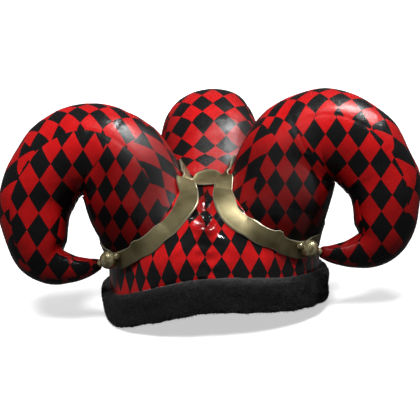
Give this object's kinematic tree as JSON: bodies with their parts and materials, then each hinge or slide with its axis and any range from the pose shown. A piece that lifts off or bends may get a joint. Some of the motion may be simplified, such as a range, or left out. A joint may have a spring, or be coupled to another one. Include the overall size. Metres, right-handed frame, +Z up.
{
  "type": "jester hat",
  "caption": "Jester hat with curled stuffed horns of harlequin cloth on a padded crown, a plush cuff, metallic trims round the horns' roots and beads on their tips.",
  "frame": {"origin": "middle of the whole hat's outline, on the surface that the hat stands on", "axes": "+X towards the wearer's left, -Y to the front, +Z up"},
  "size_m": [0.3716, 0.2962, 0.1932],
  "materials": {
    "harlequin_cloth": "satin cloth, red and black diamonds",
    "plush": "short black pile",
    "trim": "brushed metallic cloth",
    "beads": "polished"
  },
  "bodies": {
    "root": {"crown": "harlequin_cloth", "cuff": "plush", "horn_right": "harlequin_cloth", "bell_right": "beads", "collar_right": "beads", "knob_right": "beads", "horn_left": "harlequin_cloth", "bell_left": "beads", "collar_left": "beads", "knob_left": "beads", "horn_back": "harlequin_cloth", "bell_back": "beads", "collar_back": "beads", "knob_back": "beads", "trim_right": "trim", "trim_left": "trim", "trim_back": "trim", "trim_front": "trim"}
  },
  "joints": []
}
